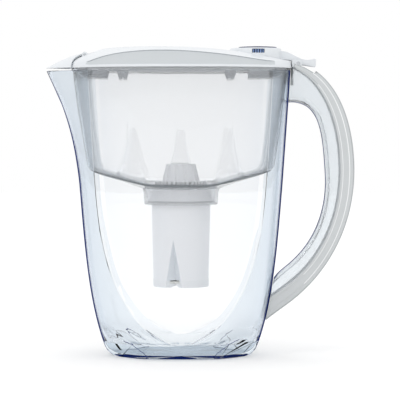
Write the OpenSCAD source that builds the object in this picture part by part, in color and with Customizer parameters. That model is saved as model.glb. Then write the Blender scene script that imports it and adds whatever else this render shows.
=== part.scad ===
// Water filter pitcher with a flip lid: clear jug, hopper, filter cartridge and hinged lid.
// Millimetres, +Z up, spout towards -X, handle towards +X.
// The origin is on the table, under the axis of the filter cartridge.

/* [Jug] */
// Height of the jug's rim above the table
jug_h = 241.5; // [225:0.5:260]
// Length of the jug at its rim, without the spout
rim_len = 186; // [176:1:196]
// Width of the jug at its rim
rim_wid = 110; // [104:1:120]
// Length of the jug just above its rounded foot
foot_len = 124; // [116:1:132]
// Width of the jug just above its rounded foot
foot_wid = 88; // [82:1:94]
// Wall thickness of the jug
jug_wall = 2.2; // [1.8:0.1:2.6]
// Thickness of the jug's floor
jug_floor = 3; // [2.5:0.1:5]
// Radius at the foot of the jug
foot_round = 7; // [5:0.5:9]
// How far the spout's lip stands out beyond the rim's end
spout_reach = 21.3; // [16:0.1:26]
// How far below the rim the spout starts
spout_drop = 92; // [70:1:110]
// Half of the spout's width at the rim
spout_half_wid = 25; // [20:0.5:30]
// Step of the raised panel on each side of the jug
panel_step = 1; // [0.6:0.1:1.4]
// Half width of the panel at the rim
panel_top_half = 75; // [72:0.5:78]
// Half width of the panel where its round lower end starts
panel_half = 70; // [66:0.5:72]
// Height at which the panel's round lower end starts
panel_mid_z = 154; // [140:1:165]
// Height of the lowest point of the panel
panel_low_z = 13; // [12:0.5:16]
// Distance from the axis to the flat that cuts each corner of the foot, at the table
corner_dist = 44.7; // [43:0.1:47]
// How far this flat leans out for each millimetre of height
corner_lean = 0.79; // [0.6:0.01:1]
// Direction in which the corner flats face, from the length
corner_turn = 51; // [45:1:57]

/* [Handle] */
// How far the handle stands out from the rim's end
handle_reach = 54; // [50:0.5:58]
// Half width of the handle
handle_half = 12.5; // [12:0.1:14]
// Height of the handle's outermost point
handle_mid_z = 156; // [150:1:162]
// Thickness of the grip cover at its middle
cover_t = 12.3; // [11:0.1:13]
// Thickness of the clear channel at its middle
channel_t = 12.1; // [11:0.1:13]
// Wall thickness of the clear channel
channel_wall = 2.4; // [2:0.1:2.6]
// Wall thickness of the grip cover
cover_wall = 2; // [1.6:0.1:2.4]
// Depth of the clear channel at its upper root
root_depth = 29; // [26:0.5:31]
// Height of the handle's lower end above the table
handle_low_z = 30; // [27:0.5:34]
// Height of the foot of the handle along the jug's wall
handle_foot = 35; // [32:0.5:38]
// Play between the handle and the jug
handle_gap = 0.25; // [0.2:0.05:0.4]
// Width of the slot behind the jug's rim for the lid's tongue
slot_wid = 3; // [2.6:0.1:3.4]

/* [Hopper] */
// Thickness of the flange that lies on the jug's rim
flange_t = 2; // [1.5:0.1:2.5]
// Wall thickness of the hopper
hopper_wall = 2; // [1.6:0.1:2.4]
// Play between the hopper and the jug at the rim
hopper_gap = 0.5; // [0.4:0.1:0.8]
// Half length of the hopper at its bottom edge
hopper_half_len = 79.5; // [76:0.5:81]
// Half width of the hopper at its bottom edge
hopper_half_wid = 45; // [43:0.5:46]
// Height of the hopper's bottom edge along its level middle part
hopper_mid_z = 144.5; // [143:0.5:147]
// How far the hopper's bottom edge climbs for each millimetre towards its ends
hopper_climb = 0.24; // [0.18:0.01:0.28]
// Half length of the level middle part
hopper_level = 26; // [22:1:30]
// Radius of the hopper's bottom edge
hopper_round = 3.5; // [2.5:0.5:4]
// Height of a pointed flute in the hopper's wall
flute_h = 46; // [36:1:52]
// Half width of a flute at its foot
flute_half = 12.8; // [10:0.2:14]
// How far a flute stands out at its foot
flute_depth = 2.4; // [1.5:0.1:3]
// Distance between the middle flute and the outer ones
flute_pitch = 40; // [38:0.5:42]

/* [Cartridge seat] */
// Play between the cartridge's flange and the collar
collar_gap = 0.4; // [0.3:0.1:0.8]
// Height of the collar's bottom above the table
collar_z = 128.5; // [126:0.5:130]
// Height of the collar's top above the table
collar_top_z = 142; // [141:0.5:142.5]
// Thickness of the collar's floor
seat_t = 2; // [1.6:0.1:2.4]
// Radius of the hole in the collar's floor
seat_r = 26.2; // [25.8:0.1:26.6]

/* [Cartridge] */
// Radius of the cartridge body at its top
body_top_r = 25; // [24:0.1:25.2]
// Radius of the cartridge body at its base
body_low_r = 23.2; // [22:0.1:23.6]
// Height of the cartridge's lowest point above the table
cartridge_z = 59; // [52:0.5:66]
// Wall thickness of the cartridge body
body_wall = 1.6; // [1.2:0.1:1.8]
// Height of the base ring
base_h = 6; // [5:0.5:7]
// How far the base ring stands out beyond the body
base_lip = 0.3; // [0.1:0.1:0.5]
// Height of the wedge grooves above the cartridge's lowest point
groove_h = 43; // [30:1:44]
// Half width of a wedge groove at the base
groove_half = 8.6; // [7:0.1:9]
// How far a wedge groove cuts in at the base
groove_depth = 9; // [7:0.5:10]
// Turn of the first wedge groove about the axis
groove_turn = 255; // [245:1:265]
// Radius of the cartridge's flange
flange_r = 28.8; // [28.4:0.1:29]
// Height of the flange ring
flange_h = 9; // [8.5:0.1:9.5]
// Thickness of the seal under the flange
seal_t = 1.4; // [1:0.1:1.8]
// Radius of the slotted inlet basket
basket_r = 22.6; // [22:0.1:23]
// Height of the slotted inlet basket
basket_h = 6.6; // [6:0.2:7]
// Number of inlet slots
slot_n = 36; // [30:2:40]
// Width of an inlet slot
slot_w = 1.6; // [1.2:0.1:1.8]
// Radius of the pull knob at its foot
knob_r = 16.2; // [15:0.1:17]
// Radius of the pull knob at its top
knob_top_r = 12; // [11:0.1:13]
// Height of the pull knob
knob_h = 16.4; // [14:0.2:17]
// Number of finger flutes round the knob
knob_flutes = 12; // [8:1:16]

/* [Lid] */
// How far the lid stands out beyond the jug's wall
lid_over = 1; // [0.8:0.1:1.3]
// Height of the lid's crown above its lower edge
crown_h = 18.9; // [18:0.1:20]
// Length at which the crown is highest
crown_x = -23; // [-30:1:-15]
// Height of the crown at the rear end of the flip lid
rear_h = 7; // [6.5:0.1:7.5]
// Height of the lid's shoulder above its lower edge at the hinge
rear_shoulder = 6.2; // [5:0.1:6.4]
// Thickness of the lid's crown
crown_t = 2.2; // [1.8:0.1:2.4]
// Thickness of the lid's side wall
side_t = 3.4; // [3.2:0.1:3.8]
// Depth of the recess in the lid's side wall
recess_t = 1; // [0.8:0.1:1.2]
// Height of the recess at its highest point
recess_h = 11.6; // [10:0.1:12]
// Depth of the rib that locates the lid in the hopper
rib_h = 1.8; // [1.4:0.1:1.9]
// Thickness of this rib
rib_t = 1.6; // [1.4:0.1:1.8]
// Play between this rib and the hopper
rib_gap = 1; // [0.9:0.1:1.2]
// Play between the lid's parts
lid_gap = 0.4; // [0.35:0.05:0.5]
// Front end of the flip lid, along the length
hatch_front = -67; // [-69:0.5:-64]
// Rear end of the flip lid, along the length
hatch_rear = 86.5; // [86.5:0.1:87]
// Half width of the flip lid
hatch_half = 36; // [34:0.5:38]
// Share of its width that the flip lid loses towards the counter
hatch_taper = 0.3; // [0.27:0.01:0.31]
// Width of the ledge that the flip lid rests on
ledge_wid = 2.6; // [2:0.1:3]
// How far the lid's locking tongue reaches down behind the jug
tongue_h = 14; // [10:0.5:16]
// Half width of the tongue
tongue_half = 7; // [6:0.5:8]
// Thickness of the tongue
tongue_t = 1.6; // [1.4:0.1:1.8]

/* [Flip lid] */
// Centre of the counter, along the length
counter_x = 65; // [64.5:0.1:65.5]
// Radius of the counter's plinth
plinth_r = 20; // [19.5:0.1:20.3]
// How far the plinth's front reaches beyond this radius
plinth_nose = 3.4; // [2:0.1:4]
// Height of the plinth's top above the lid's lower edge
plinth_h = 17.2; // [17:0.1:18]
// Half width of the arm and the thumb lever
arm_half = 7.2; // [7:0.1:7.4]
// Distance from the rim's end to the hinge
hinge_out = 6.2; // [6:0.1:6.5]
// Height of the hinge above the lid's lower edge
hinge_up = 4.2; // [4:0.1:4.4]
// Radius of the hinge pins
pin_r = 1.5; // [1.3:0.05:1.6]
// Running play of the hinge pins
pin_gap = 0.05; // [0.02:0.01:0.1]
// Radius of the hinge knuckles
knuckle_r = 3.2; // [3:0.1:3.4]
// Thickness of the hinge ears
ear_t = 1.6; // [1.4:0.1:1.8]
// Play between the hinge ears and the cheeks of the handle's cover
cheek_gap = 1.4; // [1.2:0.1:1.6]
// Length of the thumb lever beyond the hinge
lever_len = 15; // [14:0.5:16]

/* [Counter] */
// Radius of the counter's housing
counter_r = 15.3; // [14.8:0.1:15.6]
// Height of the counter's housing
counter_h = 4.6; // [4.2:0.1:5]
// Height of the clear dome over the dial
dome_h = 1.9; // [1.5:0.1:2.4]
// Thickness of the clear dome
dome_t = 0.9; // [0.7:0.1:1]
// Radius of the counter's spindle
spindle_r = 1.4; // [1.2:0.1:1.6]
// Number of ratchet teeth under the dial
tooth_n = 24; // [18:1:30]
// Half width of the pocket in the plinth's side that shows the housing's ribs
pocket_half = 5.2; // [4.8:0.1:5.6]
// Height of this pocket
pocket_h = 3.4; // [3:0.1:3.6]

/* [Spout flap] */
// Half width of the flap at the jug's rim
flap_half = 22; // [20:0.5:23]
// Half width of the flap at its hinge
flap_top_half = 15; // [14:0.5:16]
// Thickness of the flap
flap_t = 1.5; // [1.3:0.1:1.6]
// Place of the flap's hinge along the length
flap_x = -80.5; // [-81:0.1:-80]
// Radius of the flap's hinge pin
flap_pin_r = 1; // [0.9:0.05:1.1]
// Radius of the flap's knuckle
flap_knuckle_r = 2.1; // [2:0.05:2.2]

/* [Hidden] */

$fn = 72;
// Taper of the collar's wall, and its outer radius at the top
collar_taper = 0.8;
collar_r = flange_r + collar_gap + collar_taper + hopper_wall;
// Exponent of the rounded oval that the jug, hopper and lid share
oval_n = 2.4;
// Share of the jug's widening that is done close to its foot, and the power that keeps it there
belly_share = 0.46;
belly_power = 6;
// Power of the spout's forward curve
spout_power = 1.9;
// Width of the step round the raised panel
crease = 1.2;
// Steps of a ring from an end of the oval to the panel's edge, and across the panel
end_steps = 8;
mid_steps = 9;
// A very small step that keeps cuts clear of faces
eps = 0.01;

// Half sizes of the rim, the lid's lower edge and its height
rim_a = rim_len / 2;
rim_b = rim_wid / 2;
lid_z = jug_h + flange_t;
lid_a = rim_a + lid_over;
lid_b = rim_b + panel_step + lid_over;

// Rounded oval: the x and y of the point at angle t for half sizes a and b
function signed_pow(v, p) = sign(v) * pow(abs(v), p);
function oval_x(a, t) = a * signed_pow(cos(t), 2 / oval_n);
function oval_y(b, t) = b * signed_pow(sin(t), 2 / oval_n);
// Angle of the oval's point that lies at x
function oval_angle(a, x) = acos(signed_pow(max(-1, min(1, x / a)), oval_n / 2));
function mix(p, q, f) = p + (q - p) * f;
function clamp(v) = max(0, min(1, v));

// Solid between two grids of points that have the same rows; a wrapped grid closes on itself
module between(outer, inner, wrap = true) {
    m = len(outer[0]);
    n = len(outer);
    far = n * m;
    top = (n - 1) * m;
    last = wrap ? m - 1 : m - 2;
    faces = concat(
        [for (i = [0:n - 2], j = [0:last])
            let (a = i * m + j, b = i * m + (j + 1) % m)
            each [[a, b + m, b], [a, a + m, b + m],
                [far + a, far + b, far + b + m], [far + a, far + b + m, far + a + m]]],
        [for (j = [0:last])
            let (a = j, b = (j + 1) % m)
            each [[a, b, far + b], [a, far + b, far + a],
                [top + b, top + a, far + top + a], [top + b, far + top + a, far + top + b]]],
        wrap ? [] : [for (i = [0:n - 2])
            let (a = i * m, b = i * m + m - 1)
            each [[a + m, a, far + a], [a + m, far + a, far + a + m],
                [b, b + m, far + b + m], [b, far + b + m, far + b]]]);
    polyhedron(points = concat([for (r = outer) each r], [for (r = inner) each r]), faces = faces,
        convexity = 8);
}

// Closed skin over rings, ended by fans about one point at each end
module skin(rings, first, last) {
    m = len(rings[0]);
    n = len(rings);
    sides = [for (i = [0:n - 2], j = [0:m - 1])
        let (a = i * m + j, b = i * m + (j + 1) % m)
        each [[a, b + m, b], [a, a + m, b + m]]];
    low = [for (j = [0:m - 1]) [n * m, j, (j + 1) % m]];
    high = [for (j = [0:m - 1]) [n * m + 1, (n - 1) * m + (j + 1) % m, (n - 1) * m + j]];
    polyhedron(points = concat([for (r = rings) each r], [first, last]),
        faces = concat(sides, low, high), convexity = 8);
}

// A ring from the angles of its half with y above zero
function mirrored(half) =
    concat(half, [for (i = [len(half) - 2:-1:1]) [half[i][0], -half[i][1], half[i][2]]]);

// Share of the jug's widening from foot to rim at height z
function widening(z) =
    let (u = clamp(z / jug_h))
    (1 - belly_share) * u + belly_share * (1 - pow(1 - u, belly_power));
// Rounding of the foot: how far the wall is drawn in at height z above its floor
function foot_inset(z) =
    z >= foot_round ? 0 : foot_round - sqrt(max(0, pow(foot_round, 2) - pow(foot_round - z, 2)));
function jug_half_len(z) = mix(foot_len / 2, rim_a, widening(z));
function jug_half_wid(z) = mix(foot_wid / 2, rim_b, widening(z));
// Place of the jug's rear wall at a distance y from the middle plane
function rear_x(y, z) =
    jug_half_len(z) * pow(1 - pow(abs(y) / jug_half_wid(z), oval_n), 1 / oval_n);
// How far the spout stands out of the oval at height z, and the share of it at a distance y
function spout_out(z) = spout_reach * pow(clamp((z - jug_h + spout_drop) / spout_drop), spout_power);
function spout_share(y, half) = pow(1 - pow(min(1, abs(y) / half), 2), 2);
// Half width of the raised panel at height z
function panel_edge(z) =
    z >= panel_mid_z ? mix(panel_half, panel_top_half, (z - panel_mid_z) / (jug_h - panel_mid_z))
    : max(0.8, panel_half * sqrt(max(0, 1 - pow((panel_mid_z - z) / (panel_mid_z - panel_low_z), 2))));
// The flats that cut the corners of the foot
function corner_cut(x, y, z, inset) =
    let (reach = abs(x) * cos(corner_turn) + abs(y) * sin(corner_turn))
    min(1, (corner_dist + corner_lean * z - inset) / reach);

// One ring of the jug: inset 0 on the outside, the wall's thickness on the inside
function jug_ring(z, inset = 0) =
    let (
        drawn = inset + foot_inset(inset > 0 ? z - jug_floor : z),
        a = jug_half_len(z) - drawn,
        b = jug_half_wid(z) - drawn,
        w = panel_edge(z),
        rise = z > panel_low_z ? panel_step : 0,
        out = spout_out(z),
        edge = oval_angle(a, w + crease),
        start = oval_angle(a, w),
        half = concat(
            [for (i = [0:end_steps]) [edge * i / end_steps, 0]],
            [for (i = [0:mid_steps]) [start + (180 - 2 * start) * i / mid_steps, rise]],
            [for (i = [end_steps:-1:0]) [180 - edge * i / end_steps, 0]]),
        lean = inset * sqrt(1 + pow(corner_lean, 2)))
    mirrored([for (p = half)
        let (x = oval_x(a, p[0]), y = oval_y(b, p[0]) + p[1], k = corner_cut(x, y, z, lean))
        [x * k - (x < 0 ? out * spout_share(y, spout_half_wid - inset) : 0), y * k, z]]);

module jug() {
    outside = concat([0, 0.12, 0.4, 1] * foot_round,
        [panel_low_z, panel_low_z + 1, 18, 26, 38, 56, 80, 110], [panel_mid_z - 10],
        [0, 0.3, 0.52, 0.7, 0.86, 1] * spout_drop + [1, 1, 1, 1, 1, 1] * (jug_h - spout_drop));
    inside = concat([1, 0.86, 0.7, 0.52, 0.3, 0] * spout_drop + [1, 1, 1, 1, 1, 1] * (jug_h - spout_drop),
        [110, 80, 56, 38, 26, panel_low_z + 1, panel_low_z],
        [0.5, 0.12, 0] * foot_round + [1, 1, 1] * jug_floor);
    color([0.80, 0.88, 0.96, 0.45])
    skin(concat([for (z = outside) jug_ring(z)], [for (z = inside) jug_ring(z, jug_wall)]),
        [0, 0, 0], [0, 0, jug_floor]);
}

// Point on a curve of four control points
function bezier(p, t) =
    p[0] * pow(1 - t, 3) + p[1] * 3 * t * pow(1 - t, 2) + p[2] * 3 * pow(t, 2) * (1 - t) + p[3] * pow(t, 3);
// Point on a curve of two such stretches, for s from 0 to 2
function along(curve, s) = s <= 1 ? bezier(curve[0], s) : bezier(curve[1], s - 1);

// Lines of the handle in the middle plane: its back, the cover's edge and the finger side
back_x = rim_a + handle_reach;
edge_x = back_x - cover_t;
grip_x = edge_x - channel_t;
back_line = [
    [[rim_a + 2, lid_z + 5.5], [back_x - 16, lid_z - 0.5], [back_x, handle_mid_z + 45],
        [back_x, handle_mid_z]],
    [[back_x, handle_mid_z], [back_x, handle_mid_z - 52], [back_x - 28, handle_low_z + 25],
        [rim_a - 25, handle_low_z]]];
edge_line = [
    [[rim_a + slot_wid, lid_z], [edge_x - 12, lid_z - 12], [edge_x, handle_mid_z + 39],
        [edge_x, handle_mid_z]],
    [[edge_x, handle_mid_z], [edge_x, handle_mid_z - 40], [edge_x - 17, handle_low_z + 42],
        [rim_a - 20, handle_low_z + handle_foot - 15]]];
grip_line = [
    [[rim_a - 6, lid_z - root_depth], [grip_x - 2.6, lid_z - root_depth + 5],
        [grip_x - 2.6, handle_mid_z + 32], [grip_x, handle_mid_z - 7]],
    [[grip_x, handle_mid_z - 7], [grip_x, handle_mid_z - 38], [grip_x - 11, handle_low_z + 56],
        [rim_a - 20, handle_low_z + handle_foot]]];
handle_steps = 22;

// Point of a handle's section: y across, share u of the way and d millimetres from one line to another
function between_lines(from, to, y, u, d) =
    let (p = mix(from, to, u) + d * (to - from) / norm(to - from))
    [max(p[0], rear_x(y, p[1]) + handle_gap), y, p[1]];
// A grid of such points for a section's list of [y, u, d]
function handle_grid(from, to, section) =
    [for (i = [0:handle_steps])
        let (s = 2 * i / handle_steps, p = along(from, s), q = along(to, s))
        [for (k = section) between_lines(p, q, k[0], k[1], k[2])]];
// A section from its half, from one edge round to the other
function across(half) =
    concat(half, [for (i = [len(half) - 2:-1:0]) [-half[i][0], half[i][1], half[i][2]]]);

module handle_channel() {
    w = handle_half - 0.5;
    outer = across([[w, 1, 0], [w, 0.7, 0], [w, 0.42, 0], [w - 0.7, 0.18, 0], [w - 3.5, 0.03, 0],
        [0, 0, 0]]);
    n = w - channel_wall;
    inner = across([[n, 1, 0], [n, 0.7, 0], [n, 0.42, 0.6], [n - 0.7, 0.18, 1.8],
        [n - 2.5, 0.03, channel_wall], [0, 0, channel_wall]]);
    color([0.80, 0.88, 0.96, 0.5])
    between(handle_grid(grip_line, edge_line, outer), handle_grid(grip_line, edge_line, inner), false);
}

// Well in the cover for the thumb lever and the hinge ears
module lever_well() {
    translate([hinge_x, 0, hinge_z]) rotate([90, 0, 0])
    cylinder(r = norm([lever_len, hinge_up]) + 1, h = 2 * (ear_out + cheek_gap), center = true);
}

module handle_cover() {
    w = handle_half;
    c = cover_wall;
    outer = across([[w, 0, 0.1], [w, 0.16, 0], [w - 0.5, 0.2, 0], [w - 1.1, 0.62, 0], [w - 1.8, 0.68, 0],
        [w - 2.2, 0.9, 0], [w - 4.5, 1, 0], [0, 1, 0.6]]);
    inner = across([[w - c, 0, 0.1], [w - c, 0.16, 0], [w - c - 0.4, 0.2, 0], [w - c - 0.7, 0.5, 0],
        [w - c - 1, 0.56, 0], [w - c - 1.4, 0.76, -0.2], [w - c - 3.5, 1, -c], [0, 1, -c]]);
    color([0.80, 0.82, 0.82])
    difference() {
        between(handle_grid(edge_line, back_line, inner), handle_grid(edge_line, back_line, outer), false);
        lever_well();
    }
}

// Half sizes of the hopper's outside at height z
function hopper_a(z) = mix(hopper_half_len, rim_a - jug_wall - hopper_gap,
    (z - hopper_mid_z) / (jug_h - hopper_mid_z));
function hopper_b(z) = mix(hopper_half_wid, rim_b - jug_wall - hopper_gap,
    (z - hopper_mid_z) / (jug_h - hopper_mid_z));
// Height of the hopper's bottom edge at x
function hopper_low(x) = hopper_mid_z + hopper_climb * max(0, abs(x) - hopper_level);
// How far the flutes stand out at x and height z
function flute_out(x, z) =
    let (share = clamp(1 - (z - hopper_mid_z) / flute_h))
    share <= 0 ? 0 : max([for (c = [-1:1])
        flute_depth * share * sqrt(max(0, 1 - pow((x - c * flute_pitch) / (flute_half * share), 2)))]);

// One ring of the hopper: height z or the bottom edge, whichever is higher by rise, drawn in by inset
hopper_ends = 8;
function hopper_ring(z, inset, rise = 0, sink = 0) =
    let (
        a = hopper_a(z) - inset,
        b = hopper_b(z) - inset,
        share = z > hopper_mid_z + 1.5 * flute_h ? 1 : max(0.1, clamp(1 - (z - hopper_mid_z) / flute_h)),
        xs = [for (c = [1:-1:-1], k = c < 1 ? [1.56 / share, 1, 0.7, 0, -0.7, -1] : [1, 0.7, 0, -0.7, -1])
            c * flute_pitch + k * flute_half * share],
        first = oval_angle(a, flute_pitch + flute_half + 3),
        half = concat([for (i = [0:hopper_ends]) first * i / hopper_ends],
            [for (x = xs) oval_angle(a, x)],
            [for (i = [hopper_ends:-1:0]) 180 - first * i / hopper_ends]))
    mirrored([for (t = half)
        let (x = oval_x(a, t), low = hopper_low(x) + rise)
        [x, oval_y(b, t) + flute_out(x, z), rise == 0 && sink == 0 ? z : low - sink]]);
// Round ring with as many points as a ring of the hopper
function round_ring(r, z) =
    let (half = [for (p = hopper_ring(hopper_mid_z, 0)) atan2(p[1], p[0])])
    [for (t = half) [r * cos(t), r * sin(t), z]];

module hopper() {
    w = hopper_wall;
    low = hopper_mid_z;
    outer = [round_ring(seat_r, collar_z), round_ring(collar_r - collar_taper, collar_z),
        round_ring(collar_r, collar_top_z), hopper_ring(low, hopper_round, eps, 0),
        hopper_ring(low, 0, hopper_round, 0), hopper_ring(low + flute_h + eps, 0),
        hopper_ring(jug_h, 0),
        flange_ring(0, jug_h), flange_ring(0, lid_z)];
    inner = [round_ring(seat_r, collar_z + seat_t),
        round_ring(collar_r - collar_taper - w, collar_z + seat_t),
        round_ring(collar_r - w, collar_top_z + w), hopper_ring(low, hopper_round + 0.8, w, 0),
        hopper_ring(low, w, hopper_round + 0.8, 0), hopper_ring(low + flute_h + eps, w),
        hopper_ring(jug_h - 2, w), hopper_ring(jug_h, w), hopper_ring(lid_z, w)];
    color([0.90, 0.91, 0.92, 0.75])
    between(outer, inner);
}
// Outline of the flange on the rim
function flange_ring(inset, z) =
    let (
        long = (rim_a - inset) / hopper_a(jug_h),
        wide = (rim_b + panel_step - inset) / hopper_b(jug_h))
    [for (p = hopper_ring(jug_h, 0)) [p[0] * long, p[1] * wide, z]];

// Heights along the cartridge
flange_z = collar_z + seat_t + seal_t;
basket_z = flange_z + flange_h;
// Play of the granules inside the cartridge's wall
media_gap = 0.6;
knob_z = basket_z + basket_h;
body_top_z = flange_z;

module cartridge_seal() {
    color([0.62, 0.66, 0.70])
    translate([0, 0, collar_z + seat_t + 0.05])
    rotate_extrude()
    polygon([[seat_r - 0.6, 0], [flange_r - 0.4, 0], [flange_r - 0.2, seal_t / 2],
        [flange_r - 0.4, seal_t - 0.1], [seat_r - 0.6, seal_t - 0.1]]);
}

// A wedge that narrows upwards, for the grooves in the cartridge body
module wedge(grow = 0) {
    mouth = body_low_r + 4;
    half = groove_half + grow;
    deep = body_low_r - groove_depth - grow;
    tip_z = cartridge_z + groove_h + 2 * grow;
    polyhedron(points = [[mouth, -half * 1.4, cartridge_z - 1], [mouth, half * 1.4, cartridge_z - 1],
        [deep, 0, cartridge_z - 1], [body_low_r + 2, 0, tip_z + 1.5]],
        faces = [[0, 1, 2], [0, 3, 1], [1, 3, 2], [2, 3, 0]]);
}
module wedges(grow = 0) {
    for (turn = [0, 120, 240])
        rotate([0, 0, groove_turn + turn]) wedge(grow);
}

module cartridge_body() {
    low = cartridge_z + base_h;
    color([0.93, 0.94, 0.95])
    difference() {
        rotate_extrude()
        polygon([[0, low], [mix(body_low_r, body_top_r, 0.08), low], [body_top_r, body_top_z],
            [0, body_top_z]]);
        difference() {
            rotate_extrude()
            polygon([[0, low - 1], [mix(body_low_r, body_top_r, 0.08) - body_wall, low - 1],
                [body_top_r - body_wall, body_top_z + 1], [0, body_top_z + 1]]);
            wedges(body_wall);
        }
        wedges();
    }
}

module cartridge_base() {
    low = cartridge_z;
    color([0.88, 0.90, 0.92])
    difference() {
        rotate_extrude()
        polygon([[0, low + 1.5], [body_low_r - 8, low + 1.5], [body_low_r - 5, low],
            [body_low_r + base_lip, low], [mix(body_low_r, body_top_r, 0.08) + base_lip, low + base_h],
            [0, low + base_h]]);
        rotate_extrude()
        polygon([[0, low + 3.1], [body_low_r - body_wall - 1.2, low + 3.1],
            [body_low_r - body_wall - 1.2, low + base_h + 1], [0, low + base_h + 1]]);
        wedges();
        for (k = [0:11])
            rotate([0, 0, k * 30]) translate([5.5, -0.5, low]) cube([4.5, 1, base_h]);
    }
}

module cartridge_flange() {
    color([0.90, 0.92, 0.94])
    difference() {
        union() {
            translate([0, 0, flange_z + 0.05])
            cylinder(r = flange_r, h = 1.6);
            translate([0, 0, flange_z + 0.05])
            cylinder(r1 = flange_r - 2, r2 = flange_r - 2.6, h = flange_h - 0.1);
        }
        translate([0, 0, flange_z - 1]) cylinder(r = body_top_r - body_wall, h = flange_h - 0.6);
        translate([0, 0, flange_z]) cylinder(r = basket_r - 3, h = flange_h + 1);
        for (k = [0:23])
            rotate([0, 0, k * 15]) translate([flange_r - 5, 0, flange_z + flange_h - 2.6])
            rotate([0, 90, 0]) cylinder(r = 0.6, h = 5, $fn = 16);
    }
}

module cartridge_basket() {
    color([0.86, 0.88, 0.90])
    difference() {
        translate([0, 0, basket_z]) cylinder(r1 = basket_r, r2 = basket_r - 0.8, h = basket_h);
        translate([0, 0, basket_z - 1]) cylinder(r = basket_r - 3, h = basket_h - 0.6);
        for (k = [0:slot_n - 1])
            rotate([0, 0, k * 360 / slot_n])
            translate([basket_r - 4, -slot_w / 2, basket_z + 1]) cube([6, slot_w, basket_h - 2.4]);
    }
}

// Radius of the knob's domed top
knob_dome_r = 60;

module cartridge_knob() {
    // The knob tapers up to a waist, above which its top is domed
    waist_h = knob_h * 0.8;
    waist_r = mix(knob_r, knob_top_r, 0.8);
    color([0.86, 0.88, 0.90])
    difference() {
        union() {
            translate([0, 0, knob_z])
            cylinder(r1 = knob_r, r2 = waist_r, h = waist_h);
            translate([0, 0, knob_z + waist_h])
            intersection() {
                cylinder(r = waist_r, h = knob_h - waist_h);
                translate([0, 0, knob_h - waist_h - knob_dome_r]) sphere(r = knob_dome_r);
            }
        }
        translate([0, 0, knob_z - 1]) cylinder(r1 = knob_r - 2, r2 = knob_top_r - 2, h = knob_h - 1.2);
        for (k = [0:knob_flutes - 1])
            rotate([0, 0, (k + 0.5) * 360 / knob_flutes])
            translate([knob_r + 1.2, 0, knob_z - 1]) rotate([0, -14, 0])
            cylinder(r = 1.8, h = knob_h, $fn = 24);
    }
}

module top_felt() {
    color([0.96, 0.96, 0.94])
    translate([0, 0, body_top_z - 2.4]) cylinder(r = body_top_r - body_wall - 0.4, h = 2);
}

module bottom_felt() {
    color([0.96, 0.96, 0.94])
    difference() {
        translate([0, 0, cartridge_z + 3.2]) cylinder(r = body_low_r - body_wall - 1.5, h = 2);
        wedges(0.4);
    }
}

module filter_media() {
    low = cartridge_z + base_h + 0.2;
    color([0.20, 0.20, 0.21])
    difference() {
        rotate_extrude()
        polygon([[0, low], [mix(body_low_r, body_top_r, 0.08) - body_wall - media_gap, low],
            [body_top_r - body_wall - media_gap, body_top_z - 2.8], [0, body_top_z - 2.8]]);
        wedges(body_wall + media_gap);
    }
}

// Height of the crown above the lid's lower edge at x, and over the flip lid at x and y
function crown(x) =
    x < crown_x ? crown_h * (1 - pow((crown_x - x) / (crown_x + rim_a + spout_reach), 2.7))
    : crown_h - (crown_h - rear_h) * pow((x - crown_x) / (hatch_rear - crown_x), 2.3);
function hatch_h(p) = crown(p[0]) - 2 * pow(p[1] / hatch_half, 2);
// Height of the recess in the side wall above the lower edge, and of the shoulder
function recess_top(x) =
    let (u = x < -12 ? sqrt(max(0, 1 - pow((x + 12) / 64, 2))) : 1 - pow(min(1, (x + 12) / 100), 1.6))
    2 + recess_h * u;
side_shoulder = 5;
function shoulder(x) =
    max(recess_top(x) + 0.5, mix(side_shoulder, rear_shoulder, clamp((x - rim_a + 23) / 20)));
// Place of the lid's rear wall at a distance y from the middle plane
function lid_rear_x(y) = lid_a * pow(1 - pow(abs(y) / lid_b, oval_n), 1 / oval_n);
// Outline of the flip lid at angle t, grown by g
function hatch_point(t, g) =
    let (
        half = (hatch_rear - hatch_front) / 2 + g,
        x = (hatch_front + hatch_rear) / 2 + half * signed_pow(cos(t), 2 / 3),
        thin = 1 - hatch_taper * pow(clamp(x / counter_x), 2))
    [x, (hatch_half * thin + g) * signed_pow(sin(t), 2 / 3)];

// Angles of the lid's rings, closer together at the recess's ends
lid_half = concat([for (i = [0:8]) 4.5 * i], [for (i = [0:10]) 37.5 + 10.5 * i],
    [for (i = [8:-1:0]) 180 - 4.5 * i]);
lid_angles = concat(lid_half, [for (i = [len(lid_half) - 2:-1:1]) 360 - lid_half[i]]);
function in_recess(t) = abs(cos(t)) < 0.8 ? 1 : 0;
// Ring at an inset from the lid's outline: recessed or not, at a height given by its kind
function lid_point(t, inset) = [oval_x(lid_a - inset, t), oval_y(lid_b - inset, t)];
function lid_ring(inset, cut, height, slope = 0, down = 0) =
    [for (t = lid_angles)
        let (p = lid_point(t, inset + cut * in_recess(t) * recess_t))
        [p[0], p[1], lid_z + height + slope * shoulder(p[0]) - down]];
// Ring on the way from the shoulder to the flip lid's opening
function crown_ring(inset, g, f, down) =
    [for (t = lid_angles)
        let (p = lid_point(t, inset), q = hatch_point(t, lid_gap),
            s = mix(p, q, g), h = mix(shoulder(p[0]), hatch_h(q), f))
        [s[0], s[1], lid_z + h - down]];
function hatch_ring(g, down) =
    [for (t = lid_angles) let (p = hatch_point(t, g)) [p[0], p[1], lid_z + hatch_h(p) - down]];
// The locating rib follows the hopper's mouth
function rib_ring(inset, height) =
    let (a = rim_a - jug_wall - hopper_gap - hopper_wall - rib_gap - inset,
        b = rim_b - jug_wall - hopper_gap - hopper_wall - rib_gap - inset)
    [for (t = lid_angles) [oval_x(a, t), oval_y(b, t), lid_z + height]];

// Hinge at the rear of the lid
hinge_x = rim_a + hinge_out;
hinge_z = lid_z + hinge_up;
ear_in = arm_half + lid_gap;
ear_out = ear_in + ear_t;
// Hinge of the spout flap
flap_z = lid_z + crown(flap_x) - flap_knuckle_r - 0.2;
flap_ear = 2.4;

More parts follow.
